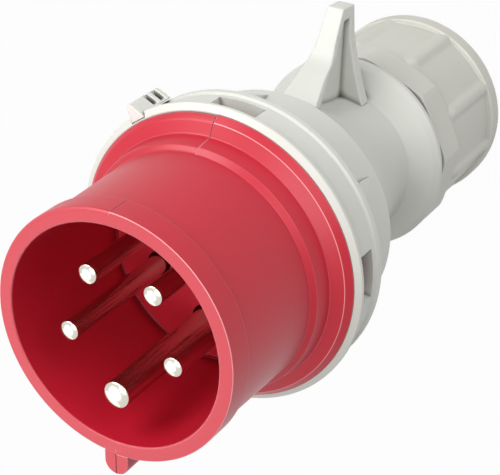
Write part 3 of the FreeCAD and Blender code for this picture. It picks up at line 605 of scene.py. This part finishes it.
def front_shroud(materials):
    shell = bmesh.new()
    halves = [rounded(shroud_corners(), half) for half in (0, 1)]
    top = PARTING_ANGLE
    bottom = 180 + KEY_TURN
    angles = columns([seam + turn for seam in (top, bottom) for turn in SEAM_TURNS])
    rows = []
    for left, right in zip(*halves):
        row = []
        for angle in angles:
            on_right = (angle - top) % 360 < bottom - top
            radius, y = right if on_right else left
            point = on_circle(radius, angle, y)
            if on_seam(point, (top, bottom), 0.1):
                point = on_circle(*sunk(radius, y, angle))
            row.append(point)
        rows.append(row)
    add_rows(shell, rows)
    for face in shell.faces:
        middle = face.calc_center_median()
        # Faces along the seam take a darker red, a painted shade in its line.
        if on_seam(middle, (top, bottom)):
            face.material_index = 1
        # Faces on the right half's crisp edges take a lighter red, a painted highlight.
        elif on_crisp_edge(middle, top, bottom):
            face.material_index = 2
    parts = [(shell, None), (floor_plate(), None)]
    parts += [(half, KEY_TURN) for half in guide_key()]
    parts += [(bayonet_lug(), angle) for angle in LUG_ANGLES]
    return piece(parts, "shroud_moulding", "front", materials, "front_shroud")


# Contacts
def contact_pin(name, material):
    """A turned pin: flat dome, shank, root in the floor, collar, and a barrel with its wire bore."""
    angle, circle, radius, tip = CONTACTS[name]
    dome = radius * DOME_FACTOR
    edge = radius * DOME_EDGE
    full = math.asin((radius - edge) / (dome - edge))
    centre_y = tip + edge + (dome - edge) * (1 - math.cos(full))
    turns = [full * i / 14 for i in range(14)]
    outline = [(dome * math.sin(turn), tip + dome * (1 - math.cos(turn))) for turn in turns]
    for i in range(9):
        turn = full + (math.pi / 2 - full) * i / 8
        outline.append((radius - edge + edge * math.sin(turn), centre_y - edge * math.cos(turn)))
    back = FLOOR_BACK_Y + BARREL_REACH
    outline += rounded([
        (radius, RECESS_Y, 0),
        (radius + PIN_ROOT_MARGIN, RECESS_Y, 0.05),
        (radius + PIN_ROOT_MARGIN, FLOOR_BACK_Y, 0),
        (radius + PIN_COLLAR_MARGIN, FLOOR_BACK_Y, 0.15),
        (radius + PIN_COLLAR_MARGIN, FLOOR_BACK_Y + PIN_COLLAR_LEN, 0.15),
        (radius + BARREL_MARGIN, FLOOR_BACK_Y + PIN_COLLAR_LEN, 0),
        (radius + BARREL_MARGIN, back, 0.3),
        (radius - WIRE_BORE_MARGIN, back, 0.3),
        (radius - WIRE_BORE_MARGIN, back - WIRE_BORE_LEN, 0),
        (0, back - WIRE_BORE_LEN - radius / 2, 0),
    ])
    step = 360 / PIN_COLUMNS
    pin = bmesh.new()
    add_rows(pin, [[on_circle(r, i * step, y) for i in range(PIN_COLUMNS)] for r, y in outline], closed=False)
    bmesh.ops.translate(pin, vec=(0, 0, circle), verts=pin.verts)
    return piece([(pin, angle)], name + "_turned", "front", [material], name)


# Rear housing
def neck_radius(y, wall=0.0):
    """Radius of the neck's curve, which ends level at its narrowest place."""
    drop = STEP_END_R - NECK_R
    arc = ((NECK_Y - STEP_END_Y) ** 2 + drop ** 2) / (2 * drop)
    return NECK_R + arc - math.sqrt((arc + wall) ** 2 - (NECK_Y - y) ** 2)


def neck_corners(wall, steps, backwards=False):
    """Points along the neck's curve between its ends."""
    places = [STEP_END_Y + (NECK_Y - STEP_END_Y) * i / steps for i in range(1, steps)]
    if backwards:
        places.reverse()
    return [(neck_radius(y, wall), y, 0) for y in places]


def thread_corners():
    """The spigot's thread: rounded ridges one pitch apart."""
    corners = []
    turns = int((THREAD_END_Y - SHOULDER_Y - 3) / THREAD_PITCH)
    for i in range(turns):
        y = SHOULDER_Y + 1.5 + i * THREAD_PITCH
        corners.append((THREAD_R - 0.7, y, 0.2))
        corners.append((THREAD_R, y + THREAD_PITCH / 2, 0.2))
    return corners


def housing_corners():
    shoulder_y = SHOULDER_Y - SHOULDER_EDGE
    return [
        (COLLAR_BORE_R, LIP_Y, 0),
        (FLANGE_R, LIP_Y, 0.2),
        (LIP_R, LIP_FACE_Y, 0.35),
        (LIP_R, BAND_Y - 0.5, 0.35),
        (BAND_R, BAND_Y, 0.2),
        (BAND_R, LOCK_GROOVE_Y[0] - 0.05, 0),
        (BAND_R, LOCK_GROOVE_Y[0], 0),
        (BAND_R, WINDOW_Y, 0),
        (BAND_R, WINDOW_END_Y, 0),
        (BAND_R, LOCK_GROOVE_Y[1], 0),
        (BAND_R, LOCK_GROOVE_Y[1] + 0.05, 0),
        (BAND_R, REAR_RIM_Y, 0.15),
        (REAR_RIM_R, REAR_RIM_Y + 0.5, 0.3),
        (REAR_RIM_R, STEP_Y - 0.3, 0.6),
        (STEP_R, STEP_Y, 0.6),
        (STEP_END_R, STEP_END_Y, 2.0),
    ] + neck_corners(0, 24) + [
        (NECK_R, NECK_Y, 2.4),
        (SHOULDER_R - SHOULDER_EDGE, shoulder_y - SHOULDER_EDGE, 0.5),
        (SHOULDER_R, shoulder_y, 0.5),
        (SHOULDER_R, SHOULDER_Y, 0.3),
        (THREAD_R, SHOULDER_Y, 0),
        (THREAD_R, SHOULDER_Y + 0.5, 0),
    ] + thread_corners() + [
        (THREAD_R - 0.7, THREAD_END_Y - 0.7, 0),
        (THREAD_R - 0.9, THREAD_END_Y, 0.2),
        (CAGE_BORE_R, THREAD_END_Y, 0.2),
        (CAGE_BORE_R, CAGE_SEAT_Y, 0),
        (CAGE_SEAT_R, CAGE_SEAT_Y, 0),
        (CAGE_SEAT_R, NECK_Y, 0),
        (NECK_R - HOUSING_WALL, NECK_Y, 0),
    ] + neck_corners(HOUSING_WALL, 8, backwards=True) + [
        (STEP_R - HOUSING_WALL, STEP_Y, 0),
        (COLLAR_BORE_R, REAR_RIM_Y, 0),
        (COLLAR_BORE_R, WINDOW_END_Y, 0),
        (COLLAR_BORE_R, WINDOW_Y, 0),
    ]


def housing_radius(radius, y, angle):
    """The turned radius, less the gap in the lip and the groove in the band that the lock slides in."""
    off = (angle - LOCK_ANGLE + 180) % 360 - 180
    across = abs(math.radians(off)) * BAND_R
    if across < LOCK_WIDTH / 2 + LOCK_PLAY and radius > LOCK_NOTCH_R and y <= BAND_Y:
        return LOCK_NOTCH_R
    in_groove = LOCK_GROOVE_Y[0] <= y <= LOCK_GROOVE_Y[1]
    if across < LOCK_GROOVE_W / 2 and in_groove and radius > COLLAR_BORE_R + 1:
        return LOCK_GROOVE_R
    return radius


def open_windows(bm, rows, angles, outline):
    """Takes the skins away at each window and walls its four sides."""
    def row_at(radius, y):
        return min(range(len(outline)), key=lambda i: abs(outline[i][0] - radius) + abs(outline[i][1] - y))
    front_out, rear_out = (rows[row_at(BAND_R, y)] for y in (WINDOW_Y, WINDOW_END_Y))
    front_in, rear_in = (rows[row_at(COLLAR_BORE_R, y)] for y in (WINDOW_Y, WINDOW_END_Y))
    for window in WINDOW_ANGLES:
        inside = [abs((a - window + 180) % 360 - 180) < WINDOW_WIDTH / 2 + 0.02 for a in angles]
        for i in range(len(angles)):
            j = (i + 1) % len(angles)
            if not (inside[i] and inside[j]):
                continue
            for front, rear in ((front_out, rear_out), (front_in, rear_in)):
                bm.faces.remove(bm.faces.get((front[i], front[j], rear[j], rear[i])))
            bm.faces.new((front_out[i], front_out[j], front_in[j], front_in[i]))
            bm.faces.new((rear_out[i], rear_out[j], rear_in[j], rear_in[i]))
        ends = [i for i, here in enumerate(inside)
                if here and not (inside[i - 1] and inside[(i + 1) % len(angles)])]
        for i in ends:
            bm.faces.new((front_out[i], rear_out[i], rear_in[i], front_in[i]))


def fin_width(z):
    """Width of the fin: nearly straight above the waist, and spreading to the foot below it."""
    if z > FIN_WAIST_Z:
        share = (z - FIN_WAIST_Z) / (FIN_TOP_Z + 1 - FIN_WAIST_Z)
        return FIN_WAIST_W + (FIN_TIP_W - FIN_WAIST_W) * share
    share = (FIN_WAIST_Z - z) / (FIN_WAIST_Z - FIN_FOOT_Z)
    bend = 2 - 4 * FIN_SPREAD
    return FIN_WAIST_W + (FIN_FOOT_W - FIN_WAIST_W) * (bend * share ** 2 + (1 - bend) * share)


def evenly(points, count):
    """A line through points, taken again at an even step."""
    lengths = [0.0]
    for before, after in zip(points, points[1:]):
        lengths.append(lengths[-1] + (after - before).length)
    taken = []
    segment = 0
    for i in range(count):
        want = lengths[-1] * i / (count - 1)
        while segment < len(points) - 2 and lengths[segment + 1] < want:
            segment += 1
        share = (want - lengths[segment]) / (lengths[segment + 1] - lengths[segment])
        taken.append(points[segment].lerp(points[segment + 1], share))
    return taken


def fin_front(toe, knee, waist, top):
    """The front plate's line in side view, from its foot up to the cap."""
    toe, knee, waist, top = (Vector(p) for p in (toe, knee, waist, top))
    bend = arc_through(knee, (knee + waist) / 2 + Vector((0.64, -0.64)), waist, 12)
    line = evenly([toe] + bend + [top], 60)
    for _ in range(6):
        line = line[:1] + [(a + b * 2 + c) / 4 for a, b, c in zip(line, line[1:], line[2:])] + line[-1:]
    return evenly(line, 22)


def grip_fin():
    """One strip of wall that rises as the front plate, turns over as the cap and falls as the rear plate."""
    outer, inner = fin_front(*FIN_FRONT), fin_front(*FIN_FRONT_INSIDE)
    for line, (top, foot) in ((outer, FIN_REAR), (inner, FIN_REAR_INSIDE)):
        line += [Vector(top).lerp(Vector(foot), i / FIN_REAR_STEPS) for i in range(FIN_REAR_STEPS + 1)]
    strip = bmesh.new()
    rows = []
    for (out_y, out_z), (in_y, in_z) in zip(outer, inner):
        wide, narrow = fin_width(out_z) / 2, fin_width(in_z) / 2
        rows.append([(-wide, out_y, out_z), (wide, out_y, out_z),
                     (narrow, in_y, in_z), (-narrow, in_y, in_z)])
    made = add_rows(strip, rows, closed=False)
    strip.faces.new(made[0])
    strip.faces.new(made[-1])
    soften(strip, 0.45, 40)
    web = bmesh.new()
    add_prism(web, *[[(x, y, z) for y, z in FIN_WEB] for x in (-FIN_WEB_HALF, FIN_WEB_HALF)])
    bmesh.ops.recalc_face_normals(web, faces=web.faces)
    return [strip, web]


def gusset():
    """A ramp behind the rear rim that narrows to a point."""
    part = bmesh.new()
    y, end = STEP_Y - 0.5, STEP_Y - 0.5 + GUSSET_LEN
    low = STEP_END_R - 1.3
    half, point = GUSSET_W / 2, GUSSET_POINT_W / 2
    front = [(-half, y, low), (half, y, low), (half, y, REAR_RIM_R - 0.5), (-half, y, REAR_RIM_R - 0.5)]
    back = [(-point, end, low), (point, end, low), (point, end, STEP_END_R), (-point, end, STEP_END_R)]
    add_prism(part, front, back)
    soften(part, 0.25, 40)
    return part


def rear_housing(material):
    shell = bmesh.new()
    outline = rounded(housing_corners())
    extra = []
    for window in WINDOW_ANGLES:
        extra += [window - WINDOW_WIDTH / 2, window + WINDOW_WIDTH / 2]
    for half in (LOCK_WIDTH / 2 + LOCK_PLAY, LOCK_GROOVE_W / 2):
        turn = math.degrees(half / BAND_R)
        extra += [LOCK_ANGLE + side * (turn + off) for side in (-1, 1) for off in (-0.02, 0.02)]
    angles = columns(extra)
    rows = [[on_circle(housing_radius(r, y, angle), angle, y) for angle in angles] for r, y in outline]
    made = add_rows(shell, rows)
    open_windows(shell, made, angles, outline)
    parts = [(shell, None)] + [(wall, None) for wall in grip_fin()]
    parts += [(gusset(), angle) for angle in GUSSET_ANGLES]
    return piece(parts, "housing_moulding", "housing", [material], "rear_housing")


# Lock slide
def lock_side(sign, height):
    """How far to a side the ridge reaches at a height: a leaning triangle with a blunt crest."""
    share = (height - LOCK_UNDER_R) / (LOCK_TOP_R - LOCK_UNDER_R)
    foot = sign * LOCK_WIDTH / 2
    crest = LOCK_CREST_SHIFT + sign * LOCK_CREST_W / 2
    return foot + (crest - foot) * max(share, 0)


def lock_comb():
    """The ridge in side view as (y, height): front block, two ribs, the slots between, and the skirt."""
    line = [(LOCK_SKIRT_LEN, LOCK_SKIRT_R), (0, LOCK_SKIRT_R)]
    for i, (start, end) in enumerate(LOCK_TEETH):
        if i > 0:
            line.append((start, LOCK_FLOOR_R))
        line += [(start, LOCK_TOP_R), (end, LOCK_TOP_R)]
        if i < len(LOCK_TEETH) - 1:
            line.append((end, LOCK_FLOOR_R))
    return line + [(LOCK_TEETH[-1][1], LOCK_UNDER_R), (LOCK_SKIRT_LEN, LOCK_UNDER_R)]


def lock_slide(material):
    comb = bmesh.new()
    outline = lock_comb()
    sides = [[(lock_side(sign, z), LIP_Y + y, z) for y, z in outline] for sign in (-1, 1)]
    add_prism(comb, *sides)
    soften(comb, 0.3, 40)
    wall = bmesh.new()
    low, high = LOCK_UNDER_R + 0.1, LOCK_TOP_R + 0.02
    left = [lock_side(-1, z) - 0.03 for z in (low, high)]
    section = [(left[0], low), (left[0] + LOCK_WALL, low), (left[1] + LOCK_WALL, high), (left[1], high)]
    add_prism(wall, *[[(x, LIP_Y + y, z) for x, z in section] for y in (-0.02, LOCK_TEETH[-1][1] + 0.02)])
    soften(wall, 0.2, 40)
    foot = bmesh.new()
    (low, high), half = LOCK_FOOT_Z, LOCK_FOOT_HALF
    section = [(-half, low), (half, low), (half, high), (-half, high)]
    add_prism(foot, *[[(x, y, z) for x, z in section] for y in LOCK_FOOT_Y])
    parts = [(part, LOCK_ANGLE) for part in (comb, wall, foot)]
    return piece(parts, "lock_ridge", "lock", [material], "lock_slide")


# Gland nut
def blend_low(a, b, reach):
    """The lesser of two heights, with a rounded edge where they cross."""
    h = max(reach - abs(a - b), 0) / reach
    return min(a, b) - h * h * reach / 4


def blend_high(a, b, reach):
    """The greater of two heights, with a fillet where they cross."""
    return -blend_low(-a, -b, reach)


def nut_radius(angle, y):
    """The nut's outside: nine-sided skirt, a rib behind each side's middle, bowed panels, round rim."""
    turn = 360 / NUT_SIDES
    off = (angle - NUT_SIDE_ANGLE + turn / 2) % turn - turn / 2
    side = NUT_CORNER_R * math.cos(math.radians(turn / 2)) / math.cos(math.radians(off))
    skirt = blend_low(side, NUT_CORNER_R - 0.3, 0.8)
    skirt = blend_low(skirt, NUT_BORE_R + 2 + (y - NUT_FACE_Y) * 6, 0.8)
    skirt = blend_low(skirt, NUT_CORNER_R - 0.3 - (y - NUT_SKIRT_END_Y) * 3, 0.5)
    from_middle = turn / 2 - abs(off)
    panel = NUT_PANEL_R / math.cos(math.radians(from_middle * NUT_PANEL_BOW))
    across = math.radians(abs(off)) * NUT_RIB_R
    rise = max(NUT_SKIRT_END_Y + 3.5 - y, 0) * 0.3
    rib = blend_low(NUT_RIB_R, NUT_RIB_R - (across - NUT_RIB_W / 2) * NUT_RIB_SLOPE, 0.4) - rise
    radius = blend_high(blend_high(panel, rib, 0.4), skirt, 0.4) if y > NUT_SKIRT_END_Y - 2 else skirt
    rim = blend_low(NUT_RIM_R, NUT_RIM_R + (y - NUT_RIM_Y - 0.3) * 4, 0.5)
    return blend_high(radius, rim, 0.35)


def nut_rows(angles):
    """Rows of the nut's outside, closer together where its form changes."""
    places = []
    for start, end, count in NUT_BANDS:
        places += [start + (end - start) * i / count for i in range(count)]
    rows = [[on_circle(nut_radius(a, y), a, y) for a in angles] for y in places]
    for step in range(9):
        turn = math.radians(90 * step / 8)
        radius = NUT_RIM_R - NUT_ROUND + NUT_ROUND * math.cos(turn)
        y = NUT_END_Y - NUT_ROUND + NUT_ROUND * math.sin(turn)
        rows.append([on_circle(radius, a, y) for a in angles])
    return rows


def nut_angles():
    """Columns that follow the ribs' edges on every side."""
    turn = 360 / NUT_SIDES
    around = [-step for step in NUT_STEPS[:0:-1]] + list(NUT_STEPS[:-1])
    return [NUT_SIDE_ANGLE + i * turn + step for i in range(NUT_SIDES) for step in around]


def gland_nut(material):
    shell = bmesh.new()
    angles = nut_angles()
    rows = nut_rows(angles)
    inside = rounded([
        (NUT_EXIT_R, NUT_END_Y, 0.6),
        (NUT_EXIT_R, NUT_SEAT_Y, 0.3),
        (NUT_SEAT_R, NUT_SEAT_Y, 0.3),
        (NUT_SEAT_R, NUT_SEAT_Y - 2.6, 0.3),
        (NUT_BORE_R, THREAD_END_Y + 2.3, 0.3),
        (NUT_BORE_R, NUT_Y, 0.4),
    ])
    rows += [[on_circle(r, a, y) for a in angles] for r, y in inside]
    add_rows(shell, rows)
    return piece([(shell, None)], "nut_moulding", "nut", [material], "gland_nut", sharp=math.pi)


# Plain finishes on the CAD nodes that stay
def dress(nodes, material):
    for name in nodes:
        node = frame["nodes"][name]
        node.data.materials.clear()
        node.data.materials.append(material)


def dress_plug():
    # Each look: base colour, tint, painted highlight colour for sharp outer edges, painted shade colour for gaps
    # and corners, and roughness.
    red, seam, gray, warm, edge = (moulded_plastic("satin_moulded_polyamide_" + name, *look) for name, look in (
        ("signal_red", ("#BF162C", "#C61C34", "#F0B8BC", "#8A0E1E", 0.38)),
        # A darker red that paints the shade in the seam's line.
        ("seam_line_painted_shade", ("#7E1222", "#8A1526", "#7E1222", "#5A0610", 0.5)),
        ("light_gray", ("#D9DAD2", "#DDDED7", "#E9EAE3", "#4A463C", 0.42)),
        ("warm_gray", ("#D3D2C8", "#D8D7CE", "#E5E4DB", "#4A463C", 0.45)),
        # A lighter red that paints a highlight along the right half's crisp edges.
        ("crisp_edge_painted_highlight", ("#E8898F", "#EC9499", "#F0B8BC", "#8A0E1E", 0.3)),
    ))
    front_shroud([red, seam, edge])
    rear_housing(gray)
    lock_slide(gray)
    gland_nut(warm)
    nickel = plated_metal("bright_nickel_plate_on_brass", "#D6D2C6", 0.18, 0.3)
    steel = plated_metal("zinc_plated_steel", "#C3C6C8", 0.3, 0.4)
    bronze = plated_metal("phosphor_bronze_strip", "#B88A5A", 0.3, 0.5)
    black, natural = (moulded_plastic("satin_moulded_polyamide_" + name, *look) for name, look in (
        ("black", ("#1B1B1D", "#222225", "#3A3A3C", "#0C0C0D", 0.45)),
        ("natural", ("#DAD8CE", "#E0DED5", "#E8E6DE", "#6E6A5E", 0.4)),
    ))
    rubber = soft_rubber("moulded_rubber_black", "#1A1A1B")
    for name in CONTACTS:
        contact_pin(name, nickel)
    dress(["terminal_screws", "terminal_screw_earth", "carrier_screw"], steel)
    dress(["wire_guards", "wire_guard_earth"], bronze)
    dress(["contact_carrier"], black)
    dress(["gland_cage", "slip_washer"], natural)
    dress(["flange_gasket", "gland_seal_outer", "gland_seal_inner"], rubber)


# Stage
SKY_LIGHT = 0.13              # how strongly the white room lights the plug
FLOOR_SHOWN = 0.97            # share of plain white in what is seen of the floor; the rest is its shadow
FLOOR_HALF = 3.0
FLOOR_DROP = 0.0002


def seen_directly(tree):
    """1 for what the camera sees, also in a mirror or through glass, and 0 for what only lights the plug."""
    path = add_node(tree, "ShaderNodeLightPath")
    mirrored = add_node(tree, "ShaderNodeMath", {"operation": "MAXIMUM"},
                        {0: path.outputs["Is Glossy Ray"], 1: path.outputs["Is Transmission Ray"]})
    seen = add_node(tree, "ShaderNodeMath", {"operation": "MAXIMUM"},
                    {0: path.outputs["Is Camera Ray"], 1: mirrored.outputs[0]})
    return seen.outputs[0]


def floor():
    """A plain pale floor under the nut."""
    size = FLOOR_HALF
    mesh = bpy.data.meshes.new("floor")
    z = -NUT_END_Y * MM - FLOOR_DROP
    corners = [(-size, -size, z), (size, -size, z), (size, size, z), (-size, size, z)]
    mesh.from_pydata(corners, [], [(0, 1, 2, 3)])
    made = bpy.data.objects.new("floor", mesh)
    bpy.context.scene.collection.objects.link(made)
    material = bpy.data.materials.new("matt_white_paper")
    material.use_nodes = True
    tree = material.node_tree
    shader = tree.nodes["Principled BSDF"]
    shader.inputs["Base Color"].default_value = linear("#9A9A9A")
    shader.inputs["Roughness"].default_value = 0.9
    output = tree.nodes["Material Output"]
    glow = add_node(tree, "ShaderNodeEmission", inputs={"Strength": 1.0})
    share = add_node(tree, "ShaderNodeMath", {"operation": "MULTIPLY"}, {0: seen_directly(tree), 1: FLOOR_SHOWN})
    seen = add_node(tree, "ShaderNodeMixShader",
                    inputs={0: share.outputs[0], 1: shader.outputs[0], 2: glow.outputs[0]})
    tree.links.new(seen.outputs[0], output.inputs["Surface"])
    mesh.materials.append(material)


def drawing_point(x, y, z):
    return STAND @ Vector((x, y, z))


def softbox(name, place, target, size, power):
    """A round lamp at a place of the drawing that faces a target."""
    lamp = bpy.data.lights.new(name, "AREA")
    lamp.shape = "DISK"
    lamp.size = size
    lamp.energy = power
    made = bpy.data.objects.new(name, lamp)
    bpy.context.scene.collection.objects.link(made)
    made.location = drawing_point(*place)
    aim = drawing_point(*target) - made.location
    made.rotation_euler = aim.to_track_quat("-Z", "Y").to_euler()
    return made


def world():
    scene = bpy.context.scene
    scene.world = bpy.data.worlds.new("studio")
    scene.world.use_nodes = True
    tree = scene.world.node_tree
    back = tree.nodes["Background"]
    level = add_node(tree, "ShaderNodeMapRange", inputs={0: seen_directly(tree), 3: SKY_LIGHT, 4: 1.0})
    back.inputs["Color"].default_value = linear("#FFFFFF")
    tree.links.new(level.outputs[0], back.inputs["Strength"])


# Camera, fitted to the photograph: drawing axes, millimetres and degrees
CAMERA_AZIMUTH = 29.39
CAMERA_ELEVATION = 28.49
CAMERA_ROLL = 2.05
CAMERA_DISTANCE = 358.8
CAMERA_ASIDE = 31.16
CAMERA_ABOVE = 22.62
FOCAL_PX = 1595.2
IMAGE_WIDTH = 500


def camera():
    a, e, roll = (math.radians(v) for v in (CAMERA_AZIMUTH, CAMERA_ELEVATION, CAMERA_ROLL))
    back = Vector((math.sin(a) * math.cos(e), -math.cos(a) * math.cos(e), math.sin(e)))
    level = Vector((math.cos(a), math.sin(a), 0))
    upright = back.cross(level)
    right = level * math.cos(roll) + upright * math.sin(roll)
    up = upright * math.cos(roll) - level * math.sin(roll)
    place = right * CAMERA_ASIDE + up * CAMERA_ABOVE + back * CAMERA_DISTANCE
    turn = STAND.to_3x3() * (1 / MM)
    axes = Matrix((turn @ right, turn @ up, turn @ back)).transposed()
    data = bpy.data.cameras.new("camera")
    data.lens = FOCAL_PX * data.sensor_width / IMAGE_WIDTH
    data.clip_start = 0.01
    data.clip_end = 20
    made = bpy.data.objects.new("camera", data)
    bpy.context.scene.collection.objects.link(made)
    made.matrix_world = Matrix.Translation(STAND @ place) @ axes.to_4x4()
    bpy.context.scene.camera = made


# Soft lamps: place in the drawing and power
LAMP_SIZE = 0.45              # metres
LAMPS = (
    ("key", (-277, -299, 406), 2.5),
    ("front", (-235, -420, -200), 1.0),
    ("fill", (150, -570, 130), 1.7),
    ("right", (470, -60, 380), 0.9),
    ("top", (312, -55, 524), 0.7),
    ("rear", (-330, -150, -420), 0.35),
)


def studio():
    bpy.context.scene.view_settings.view_transform = "Standard"
    floor()
    world()
    middle = (0, 70, 0)
    for name, place, power in LAMPS:
        softbox(name, place, middle, LAMP_SIZE, power)
    camera()


dress_plug()
studio()
